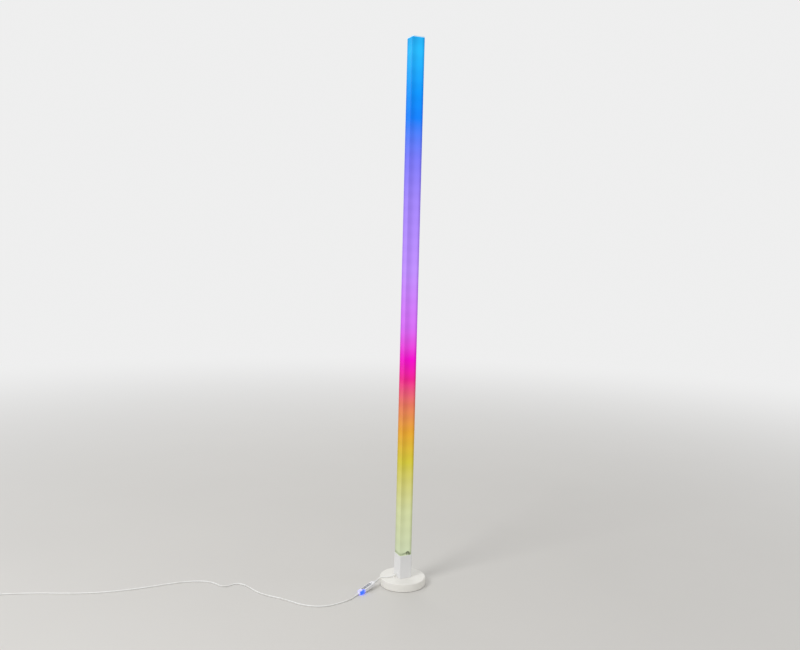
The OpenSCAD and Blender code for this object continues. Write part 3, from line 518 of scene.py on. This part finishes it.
def tubeFinish():
    skin = Finish("milky tube")
    colour = litColour(skin)
    x, y, z = skin.x, skin.y, skin.z

    def shaded(name, value):
        # 0 where the named shade begins, and 1 where it is full
        return skin.step(value, *shadeReach[name])

    def facing(across, sign):
        # 1 on the face at one end of an axis, and 0 beyond its rounded corners
        return skin.step(across, *(sign * (tube["half"] - depth) for depth in tube["corner"]))

    onFront = facing(y, -1)

    # each lit face is brightest opposite its diodes and falls towards the long edges;
    # the shade along the front corner creeps round onto the left face as it climbs
    low, high = tubeShade["frontCorner"]
    dip = low + (high - low) * shaded("frontClimb", z)
    front = dip * shaded("frontCorner", x) + tubeShade["rightEdge"] * shaded("rightEdge", x)
    near, far = tubeShade["left"]
    side = 1 - near - (far - near) * shaded("left", y)
    crept = tube["creep"] * shaded("creepClimb", z) - tube["half"]
    side = side * (1 - tubeShade["creep"] * shaded("creep", y - crept))
    level = 1 - onFront * front
    level = level * (1 - facing(x, -1) * (1 - side) * shaded("leftCorner", y))

    # behind the spine only scattered light reaches the wall
    def back(across):
        outside, behind = tubeShade["back"]
        return outside + (behind - outside) * shaded("spine", across)

    level = level * (1 - (facing(x, 1) * back(y)).orMore(facing(y, 1) * back(x)))

    # each pair of diodes lifts the light a touch, and the cap and the socket shade the ends,
    # though the lip above the socket stays lighter
    beat = (z - tube["firstDiode"]) * (2 * math.pi / tube["diodePitch"])
    level = level * (1 + tube["beat"] * skin.add("Math", {"operation": "COSINE"}, [beat]))
    above = z - tube["socketTop"]
    level = level * (1 - tubeShade["cap"] * shaded("cap", tube["top"] - z))
    level = level * (1 - tubeShade["foot"] * (shaded("foot", above) - shaded("lip", above)))

    # the wires inside cast a dark loop above the socket, open low on its left,
    # with a paler strand that slopes up to it
    across = (x - wireShade["loopX"]) / wireShade["wide"]
    rise = (z - wireShade["loopZ"]) / wireShade["high"]
    ring = (across * across + rise * rise).root()
    loop = shaded("loop", abs(ring - wireShade["line"])) * (1 - shaded("loopGap", across + rise))
    within = shaded("within", ring) * shaded("withinFoot", above)
    slope = z - wireShade["strandZ"] - wireShade["slope"] * (x - wireShade["strandX"])
    strand = shaded("strand", abs(slope)) * shaded("strandLeft", x) * shaded("strandRight", x)
    for name, shape in (("loop", loop), ("within", within), ("strand", strand)):
        level = level * (1 - wireShade[name] * onFront * shape)

    # the wall's own colour is painted with its light's colour and shading, with a touch of white, and its
    # glow is purer where it is shaded
    cloud = skin.noise(18 * mm, 3.0)
    level = level * (0.985 + 0.03 * cloud)
    # painted light: the light's colour, with a touch of white, stands in for the wall's own colour
    milk = skin.mix(tube["milk"], colour, tone(236, 238, 240))
    deep = skin.mix(1.0, colour, colour, "MULTIPLY")
    pure = skin.mix(tube["purer"] * shaded("purer", level), colour, deep)
    return skin.shade(
        colour=skin.dimmed(milk, tube["paintedLightShare"] * level),
        glow=skin.dimmed(pure, level),
        glowStrength=tube["glow"],
        roughness=0.46 + 0.08 * cloud,
        normal=skin.bump(skin.noise(0.35 * mm), 0.02 * mm, 0.35),
        specular=0.08,
    )


# the tube's light in its cap, which is white
cap = {
    "bleed": (2.6 * mm, -0.4 * mm),  # over the tube's top: where its light ends, and where it is full
    "rim": (13 * mm, 16.5 * mm),  # out from the middle: where its light begins, and where it is full
    "dim": (26, 60, 88),
    "bright": (58, 176, 232),
    "glow": 0.8,
}


def capFinish():
    # the light bleeds into the rim of the cap's plate from below
    plastic = Finish("cap plastic")
    bleed = plastic.step(plastic.z - tube["top"], *cap["bleed"])
    rim = plastic.step(abs(plastic.x), *cap["rim"]) + plastic.step(abs(plastic.y), *cap["rim"])
    cloud = plastic.noise(9 * mm)
    glow = plastic.mix(bleed, tone(*cap["dim"]), tone(*cap["bright"]))
    return plastic.shade(
        colour=plastic.mix(cloud, tone(206, 214, 220), tone(222, 227, 231)),
        glow=plastic.dimmed(glow, rim * 0.8 + 0.1),
        glowStrength=cap["glow"],
        roughness=0.42 + 0.1 * cloud,
        normal=plastic.bump(plastic.noise(0.4 * mm), 0.03 * mm, 0.5),
    )


dress("diffuser", tubeFinish())
dress("top_cap", capFinish())
print("tube lit")


# the base and the socket that stands on it
base = {
    "top": 21 * mm,
    "shell": (240, 238, 232),
    "socket": (236, 236, 236),
    "flow": (224, 224, 225),
    # the dust colour, which also paints the shade at the socket's foot
    "dust": (206, 203, 196),
    "scuff": (170, 168, 164),
}


def coatedShell():
    # powder coat: a soft orange peel, a little dust on top and grey scuffs low on the rim
    coat = Finish("powder coat")
    peel = coat.noise(1.5 * mm, 2.0, 0.45)
    fine = coat.noise(0.3 * mm, 1.0)
    cloud = coat.noise(30 * mm, 4.0, 0.6)
    dust = coat.step(cloud, 0.45, 0.95) * coat.step(coat.z, base["top"] - 1.5 * mm, base["top"])
    rubbed = coat.step(coat.noise(4 * mm, 3.0, 0.6), 0.58, 0.74) * coat.step(coat.z, 6 * mm, 1.5 * mm)
    colour = coat.mix(dust * 0.22, tone(*base["shell"]), tone(*base["dust"]))
    colour = coat.mix(rubbed * 0.35, colour, tone(*base["scuff"]))
    return coat.shade(
        colour=colour,
        roughness=0.4 + 0.12 * cloud + 0.15 * rubbed,
        normal=coat.bump(peel + fine * 0.2, 0.06 * mm, 0.6),
        specular=0.5,
    )


def mouldedSocket():
    # spark-textured plastic: fine grain, faint flow marks, and painted shade in the dust colour where it
    # meets the base
    shell = Finish("socket plastic")
    grain = shell.noise(0.35 * mm, 2.0, 0.6)
    flow = shell.streaks((160.0, 160.0, 25.0), rough=0.5)
    cloud = shell.noise(22 * mm, 3.0)
    # painted shade: darker over the lowest few millimetres, where the socket meets the base
    paintedFootShade = shell.step(shell.z, base["top"] + 2.5 * mm, base["top"])
    colour = shell.mix(0.3 * flow + 0.2 * cloud, tone(*base["socket"]), tone(*base["flow"]))
    colour = shell.mix(paintedFootShade * 0.35, colour, tone(*base["dust"]))
    return shell.shade(
        colour=colour,
        roughness=0.47 + 0.1 * cloud,
        normal=shell.bump(grain, 0.05 * mm, 0.6, shell.bump(flow, 0.08 * mm, 0.25)),
        specular=0.45,
    )


def softPlastic(name, colour, secondTone, roughness=0.45, grain=0.3 * mm):
    # a fine moulded grain over slow changes of tone
    plastic = Finish(name)
    fine = plastic.noise(grain, 2.0, 0.55)
    cloud = plastic.noise(12 * mm, 3.0)
    return plastic.shade(
        colour=plastic.mix(cloud, tone(*colour), tone(*secondTone)),
        roughness=roughness + 0.1 * cloud,
        normal=plastic.bump(fine, 0.03 * mm, 0.5),
    )


def footFoam():
    # closed-cell foam: small pits, with painted shade in them
    foam = Finish("foot foam")
    cells = foam.add("TexVoronoi", {}, {"Vector": foam.point, "Scale": 1 / (0.7 * mm)})
    cloud = foam.noise(8 * mm, 3.0)
    return foam.shade(
        colour=foam.mix(cells, tone(34, 34, 35), tone(62, 62, 63)),
        roughness=0.82 + 0.1 * cloud,
        normal=foam.bump(cells, 0.15 * mm, 0.7),
        specular=0.25,
    )


def zincSheet():
    # galvanised plate: crystals a few millimetres across, each with its own tone
    sheet = Finish("zinc sheet")
    crystals = sheet.add("TexVoronoi", {}, {"Vector": sheet.point, "Scale": 1 / (5 * mm)}, 1)
    shades = sheet.add("SeparateColor", {}, [crystals])
    haze = sheet.noise(1.2 * mm, 3.0, 0.7)
    return sheet.shade(
        colour=sheet.mix(shades, tone(150, 153, 155), tone(186, 188, 189)),
        metallic=0.95,
        roughness=0.34 + 0.2 * shades + 0.08 * haze,
        normal=sheet.bump(haze, 0.02 * mm, 0.4),
    )


def zincScrew():
    # turned and plated: fine rings about each axis and a warmer tint in places
    screw = Finish("zinc screw")
    haze = screw.noise(0.5 * mm, 3.0)
    turned = screw.streaks((900.0, 900.0, 6000.0), 2.0)
    return screw.shade(
        colour=screw.mix(haze, tone(168, 169, 168), tone(196, 194, 186)),
        metallic=1.0,
        roughness=0.28 + 0.14 * turned,
        normal=screw.bump(turned, 0.03 * mm, 0.5),
    )


def castIron():
    # a coarse sand-cast skin with patches of rust
    iron = Finish("cast iron")
    grit = iron.noise(0.8 * mm, 5.0, 0.65)
    rust = iron.step(iron.noise(14 * mm, 4.0), 0.55, 0.75)
    return iron.shade(
        colour=iron.mix(rust * 0.5, tone(70, 70, 72), tone(104, 76, 58)),
        metallic=0.6,
        roughness=0.62 + 0.2 * grit,
        normal=iron.bump(grit, 0.25 * mm, 0.8),
    )


dress("base_shell", coatedShell())
dress("socket", mouldedSocket())
dress("foot_pad", footFoam())
dress("base_plate", zincSheet())
dress("base_weight", castIron())
dress("plate_screws socket_screws cap_screw", zincScrew())
dress("cord_grommet", softPlastic("grommet rubber", (238, 238, 235), (226, 226, 222), 0.4, 0.5 * mm))
nylon = softPlastic("connector nylon", (232, 226, 206), (220, 212, 190), 0.38, 0.6 * mm)
dress("connector_plug connector_socket", nylon)
dress("bottom_plug", softPlastic("fitting plastic", (228, 228, 228), (216, 216, 216)))
print("base dressed")


# the spine and the light strips stand behind the milky wall;
# these are the widths and lengths of the strips' copper
strip = {
    "lane": 2.5 * mm,  # from one track to the next
    "track": 0.92 * mm,
    "pad": 1.6 * mm,
    "padLength": 3.95 * mm,  # either side of a cut line
    "copper": 7.9 * mm,  # across all three lanes
    "cut": 0.32 * mm,
    "bareAt": 2.2 * mm,  # from a diode, where the tracks stop for its solder
    "bare": 2.55 * mm,
}


def drawnAluminium():
    # long die lines up the extrusion
    metal = Finish("drawn aluminium")
    lines = metal.streaks((2500.0, 2500.0, 12.0))
    return metal.shade(
        colour=metal.mix(lines, tone(196, 198, 200), tone(214, 215, 216)),
        metallic=1.0,
        roughness=0.3 + 0.16 * lines,
        normal=metal.bump(lines, 0.02 * mm, 0.4),
    )


def stripBoard(name, across):
    # white mask with three copper pads either side of a cut line, halfway between diodes
    board = Finish(name)
    pitch = tube["diodePitch"]
    side = board.x if across == "x" else board.y
    fromDiode = abs((board.z - tube["firstDiode"] + pitch / 2) % pitch - pitch / 2)
    fromCut = fromDiode - pitch / 2
    fromTrack = (side + 1.5 * strip["lane"]) % strip["lane"] - strip["lane"] / 2
    pad = board.band(fromTrack, strip["pad"] / 2, 0.1 * mm) * board.band(side, strip["copper"] / 2, 0.1 * mm)
    pad = pad * board.band(fromCut, strip["padLength"], 0.1 * mm)
    cut = board.band(fromCut, strip["cut"] / 2, 0.08 * mm)
    bare = board.band(fromDiode - strip["bareAt"], strip["bare"] / 2, 0.15 * mm)
    track = board.band(fromTrack, strip["track"] / 2, 0.08 * mm) * (1 - bare)
    haze = board.noise(3 * mm, 3.0)
    colour = board.mix(haze, tone(232, 232, 228), tone(222, 222, 216))
    colour = board.mix(track * 0.25, colour, tone(206, 200, 186))
    colour = board.mix(pad, colour, tone(202, 142, 92))
    colour = board.mix(cut * 0.8, colour, tone(60, 60, 60))
    return board.shade(
        colour=colour,
        metallic=pad * 0.9,
        roughness=0.45 - 0.15 * pad + 0.08 * haze,
        normal=board.bump(pad * 0.5 + track * 0.5, 0.04 * mm, 0.6),
    )


def diodePackage():
    # a white cup round clear gel that glows in the colour of its height
    package = Finish("diode package")
    colour = litColour(package)
    grain = package.noise(0.3 * mm, 2.0)
    return package.shade(
        colour=package.mix(grain * 0.3, tone(238, 236, 226), tone(226, 216, 180)),
        glow=colour,
        glowStrength=1.6,
        roughness=0.22 + 0.1 * grain,
        normal=package.bump(grain, 0.02 * mm, 0.3),
        coat=0.3,
    )


dress("spine", drawnAluminium())
dress("strip_front", stripBoard("front strip mask", "x"))
dress("strip_side", stripBoard("side strip mask", "y"))
dress("leds_front leds_side", diodePackage())
sleeve = softPlastic("wire sleeve", (196, 44, 36), (170, 34, 30), 0.35, 0.5 * mm)
dress("strip_leads strip_jumper", sleeve)
print("lights dressed")


# controller: white shells round a grey panel, with a blue light at the cord's end;
# from here u runs along the case towards the lamp, v across it and w up from it
light = {
    "at": -20.4 * mm,
    "lens": 1.5 * mm,
    "leak": (-23.9 * mm, -4 * mm),  # its middle, in u and v
    "reach": 14 * mm,
    "nearSide": (-0.5 * mm, -5.4 * mm),  # in v: where it begins to grow bluer, and where it is bluest
    "relief": (-6 * mm, 1 * mm),  # from the case's end: where the relief's glow ends, and is full
    "core": (206, 214, 255),
    "blue": (30, 76, 255),
    "haze": (100, 96, 218),
}


def caseAxes(finish):
    return [finish.along(direction, caseOrigin) for direction in (caseAlong, caseAcross, caseUp)]


def caseFinish():
    case = Finish("controller plastic")
    u, v, w = caseAxes(case)
    grain = case.noise(0.3 * mm, 2.0, 0.6)
    cloud = case.noise(16 * mm, 3.0)
    seam = case.band(w - controller["height"] / 2, controller["seam"] / 2, 0.11 * mm)
    # the light leaks out through the thin wall about its lens, most on the near side and the end
    du, dv = u - light["leak"][0], v - light["leak"][1]
    leak = case.step((du * du + dv * dv).root() / light["reach"], 1.1, 0.3)
    nearSide = case.step(v, *light["nearSide"])
    colour = case.mix(cloud * 0.4, tone(238, 238, 240), tone(226, 226, 230))
    colour = case.mix(seam * 0.6, colour, tone(120, 120, 124))
    colour = case.mix(leak * (0.6 + 0.4 * nearSide), colour, tone(30, 52, 150))
    glow = case.mix(nearSide, tone(*light["haze"]), tone(*light["blue"]))
    return case.shade(
        colour=colour,
        glow=case.dimmed(glow, leak),
        glowStrength=2.0,
        roughness=0.36 + 0.1 * cloud,
        normal=case.bump(grain - seam * 3, 0.04 * mm, 0.5),
        coat=0.1,
        coatRoughness=0.25,
    )


def glowingRelief():
    # the translucent relief at the light's end takes some of its glow at the root
    rubber = Finish("glowing relief")
    u, v, _ = caseAxes(rubber)
    fine = rubber.noise(0.4 * mm, 2.0, 0.55)
    cloud = rubber.noise(12 * mm, 3.0)
    past = u + controller["length"] / 2 - v * 0.5
    return rubber.shade(
        colour=rubber.mix(cloud, tone(238, 238, 238), tone(222, 222, 222)),
        glow=rubber.dimmed(tone(*light["haze"]), rubber.step(past, *light["relief"])),
        glowStrength=1.1,
        roughness=0.42 + 0.1 * cloud,
        normal=rubber.bump(fine, 0.03 * mm, 0.5),
    )


def panelFinish():
    # a darker, finely brushed strip
    panel = Finish("panel film")
    u, v, _ = caseAxes(panel)
    streak = panel.noise(1.0, 2.0, 0.6, panel.add("CombineXYZ", {}, [u * 120, v * 5200, 0.0]))
    return panel.shade(
        colour=panel.mix(streak, tone(122, 124, 130), tone(144, 146, 152)),
        roughness=0.38 + 0.14 * streak,
        normal=panel.bump(streak, 0.015 * mm, 0.4),
        metallic=0.25,
    )


def keyFinish():
    # soft-touch rubber, lighter and glossier on its crown
    key = Finish("key rubber")
    above = key.along(caseUp, caseOrigin) - controller["height"]
    grain = key.noise(0.25 * mm, 2.0, 0.6)
    crown = key.step(above, 0.0, 0.4 * mm)
    return key.shade(
        colour=key.mix(crown * 0.6, tone(168, 170, 176), tone(184, 186, 191)),
        roughness=0.58 - 0.14 * crown + 0.08 * grain,
        normal=key.bump(grain, 0.03 * mm, 0.5),
    )


def lensFinish(name, core, rim, glow):
    # brightest in the middle, bluer towards the rim
    lens = Finish(name)
    u, v, _ = caseAxes(lens)
    u = u - light["at"]
    out = (u * u + v * v).root() / light["lens"]
    return lens.shade(
        colour=lens.mix(lens.step(out, 0.2, 1.0), tone(*core), tone(*rim)),
        glow=lens.mix(lens.step(out, 0.1, 1.1), tone(*core), tone(*rim)),
        glowStrength=glow,
        roughness=0.12 + 0.1 * lens.noise(0.4 * mm),
        coat=0.5,
    )


def tintedWindow():
    # dark red and glossy, for the receiver behind it
    window = Finish("tinted window")
    haze = window.noise(1.5 * mm)
    return window.shade(
        colour=window.mix(haze, tone(34, 8, 10), tone(58, 14, 16)),
        roughness=0.08 + 0.08 * haze,
        coat=0.6,
        ior=1.52,
    )


def circuitBoard():
    # solder mask over copper tracks that step across in short runs
    board = Finish("circuit board")
    u, v, _ = caseAxes(board)
    layout = {
        "Vector": board.add("CombineXYZ", {}, [u * 260, v * 900, 0.0]),
        "Scale": 1.0,
        "Brick Width": 1.6,
        "Row Height": 0.9,
        "Mortar Size": 0.08,
        "Mortar": tone(46, 140, 84),
        "Color1": tone(18, 96, 52),
        "Color2": tone(22, 108, 58),
    }
    tracks = board.add("TexBrick", {"offset": 0.5, "squash": 1.0}, layout)
    haze = board.noise(2 * mm, 3.0)
    return board.shade(
        colour=board.mix(haze * 0.25, tracks, tone(14, 76, 42)),
        roughness=0.28 + 0.12 * haze,
        coat=0.2,
        coatRoughness=0.2,
    )


def blackEpoxy(name):
    # moulded chip body with a fine matt grain
    body = Finish(name)
    grain = body.noise(0.2 * mm, 3.0, 0.6)
    return body.shade(
        colour=body.mix(grain, tone(26, 26, 27), tone(44, 44, 45)),
        roughness=0.5 + 0.15 * grain,
        normal=body.bump(grain, 0.02 * mm, 0.5),
    )


def plainMetal(name, first, second, roughness, size):
    # stamped metal with a haze of the given size
    metal = Finish(name)
    haze = metal.noise(size, 3.0, 0.6)
    fine = metal.noise(size / 8, 2.0)
    return metal.shade(
        colour=metal.mix(haze, tone(*first), tone(*second)),
        metallic=1.0,
        roughness=roughness + 0.16 * haze,
        normal=metal.bump(fine, 0.01 * mm, 0.4),
    )


dress("case_bottom case_top", caseFinish())
dress("key_panel", panelFinish())
dress("mode_key power_key speed_key", keyFinish())
dress("controller_board", circuitBoard())
dress("board_parts", blackEpoxy("chip epoxy"))
dress("ir_receiver", blackEpoxy("receiver epoxy"))
dress("ir_window", tintedWindow())
dress("status_lens", lensFinish("status lens", light["core"], light["blue"], 1.6))
dress("status_led", lensFinish("status diode", (225, 230, 255), (90, 120, 255), 2.0))
dress("key_switches", plainMetal("switch steel", (176, 177, 176), (198, 198, 196), 0.3, 2 * mm))
dress("relief_in", softPlastic("relief rubber", (238, 238, 238), (222, 222, 222), 0.42, 0.4 * mm))
dress("relief_out", glowingRelief())
print("controller dressed")


def stampedShell():
    # nickel over steel: fine rolling lines along the shell and a few rubs from use
    shell = Finish("plug nickel")
    lines = shell.streaks((3000.0, 90.0, 3000.0))
    rubs = shell.step(shell.noise(1.6 * mm, 4.0, 0.7), 0.58, 0.72)
    return shell.shade(
        colour=shell.mix(rubs, tone(198, 198, 195), tone(176, 174, 168)),
        metallic=1.0,
        roughness=0.2 + 0.14 * lines + 0.16 * rubs,
        normal=shell.bump(lines, 0.01 * mm, 0.4),
    )


strap = {"across": (0.766, 0.643, 0.0), "ribs": 7000}  # ribs in radians per metre


def strapFinish():
    # a ribbed white strap
    plastic = Finish("strap plastic")
    ribs = plastic.add("Math", {"operation": "SINE"}, [plastic.along(strap["across"]) * strap["ribs"]])
    grain = plastic.noise(0.3 * mm)
    return plastic.shade(
        colour=plastic.mix(grain, tone(226, 226, 226), tone(210, 210, 210)),
        roughness=0.42 + 0.1 * grain,
        normal=plastic.bump(ribs * 0.5 + grain * 0.3, 0.12 * mm, 0.6),
    )


dress("plug_shell", stampedShell())
dress("plug_grip", softPlastic("grip plastic", (238, 238, 238), (224, 224, 224), 0.42, 0.35 * mm))
dress("plug_tongue", softPlastic("tongue plastic", (232, 232, 232), (220, 220, 220), 0.36, 0.5 * mm))
dress("plug_contacts", plainMetal("gilt contact", (214, 178, 96), (196, 156, 74), 0.22, 1 * mm))
dress("coil_tie", strapFinish())
print("plug dressed")


# room: a pale floor that fades into the background, and soft lamps
room = {
    "floor": (217, 215, 211),
    "floorCloud": (213, 211, 207),
    "air": 0.86,  # how bright the background looks
    "fill": 0.6,  # how bright it is as a light
    "fade": (0.3, 4.5),  # metres out, between which the floor blends into the air
    "reach": (0.4, 30),  # metres out, of the floor's first circle and its last
    "rings": 24,
    "sides": 96,
}


def paleFloor():
    # far from the lamp, what the camera, gloss and glass see of it blends into the air behind
    floor = Finish("pale floor")
    spread = floor.add("VectorMath", {"operation": "LENGTH"}, [floor.point], 1)
    cloud = floor.noise(0.4, 3.0)
    colour = floor.mix(cloud, tone(*room["floor"]), tone(*room["floorCloud"]))
    floor.shade(colour=colour, roughness=0.72, specular=0.2)
    air = floor.add("Emission", {}, {"Color": (room["air"],) * 3 + (1.0,), "Strength": 1.0})
    seen = floor.add("LightPath", {}, {}, "Is Camera Ray")
    for ray in ("Is Glossy Ray", "Is Transmission Ray"):
        seen = seen.orMore(floor.add("LightPath", {}, {}, ray))
    shader = Signal(floor, floor.shader.outputs[0])
    blended = floor.add("MixShader", {}, [floor.step(spread, *room["fade"]) * seen, shader, air])
    floor.tree.links.new(blended.socket, floor.tree.nodes["Material Output"].inputs["Surface"])
    return floor.material


def makeFloor():
    # circles about the lamp, each larger than the last by the same factor,
    # with one face across the smallest
    radius = np.geomspace(*room["reach"], room["rings"])[:, None]
    turn = np.arange(room["sides"]) * 2 * math.pi / room["sides"]
    grid = np.stack([radius * np.cos(turn), radius * np.sin(turn), 0 * radius * turn], axis=-1)
    index = np.arange(room["rings"] * room["sides"]).reshape(room["rings"], room["sides"])
    right = np.roll(index, -1, axis=1)
    quads = np.stack([index[:-1], index[1:], right[1:], right[:-1]], axis=-1).reshape(-1, 4)
    mesh = bpy.data.meshes.new("floor")
    mesh.from_pydata(grid.reshape(-1, 3).tolist(), [], quads.tolist() + [index[0].tolist()])
    mesh.materials.append(paleFloor())
    floor = bpy.data.objects.new("floor", mesh)
    bpy.context.collection.objects.link(floor)


def makeAir():
    # white all round: the camera, gloss and glass see it pale, and it fills the shadows more dimly
    world = bpy.data.worlds.new("air")
    bpy.context.scene.world = world
    world.use_nodes = True
    tree = world.node_tree
    back = tree.nodes["Background"]
    back.inputs["Color"].default_value = (1, 1, 1, 1)
    path = tree.nodes.new("ShaderNodeLightPath")
    seen = path.outputs["Is Camera Ray"]
    for ray in ("Is Glossy Ray", "Is Transmission Ray"):
        either = tree.nodes.new("ShaderNodeMath")
        either.operation = "MAXIMUM"
        tree.links.new(seen, either.inputs[0])
        tree.links.new(path.outputs[ray], either.inputs[1])
        seen = either.outputs[0]
    level = tree.nodes.new("ShaderNodeMapRange")
    level.inputs["To Min"].default_value = room["fill"]
    level.inputs["To Max"].default_value = room["air"]
    tree.links.new(seen, level.inputs["Value"])
    tree.links.new(level.outputs[0], back.inputs["Strength"])


softboxes = [
    {"name": "key", "at": (-2.4, -0.9, 2.2), "aim": (0, 0, 0.3), "size": 1.2, "watts": 38},
    {"name": "side", "at": (2.0, -1.4, 1.6), "aim": (0, 0, 0.4), "size": 1.8, "watts": 4},
    {"name": "back", "at": (0.4, 2.2, 2.2), "aim": (0, 0, 0.4), "size": 1.6, "watts": 9},
]


def makeSoftboxes():
    for box in softboxes:
        lamp = bpy.data.lights.new(box["name"], "AREA")
        lamp.shape = "DISK"
        lamp.size = box["size"]
        lamp.energy = box["watts"]
        holder = bpy.data.objects.new(box["name"], lamp)
        holder.location = box["at"]
        heading = Vector(box["aim"]) - Vector(box["at"])
        holder.rotation_euler = heading.to_track_quat("-Z", "Y").to_euler()
        bpy.context.collection.objects.link(holder)


makeFloor()
makeAir()
makeSoftboxes()
bpy.context.scene.view_settings.view_transform = "Standard"
print("room lit")
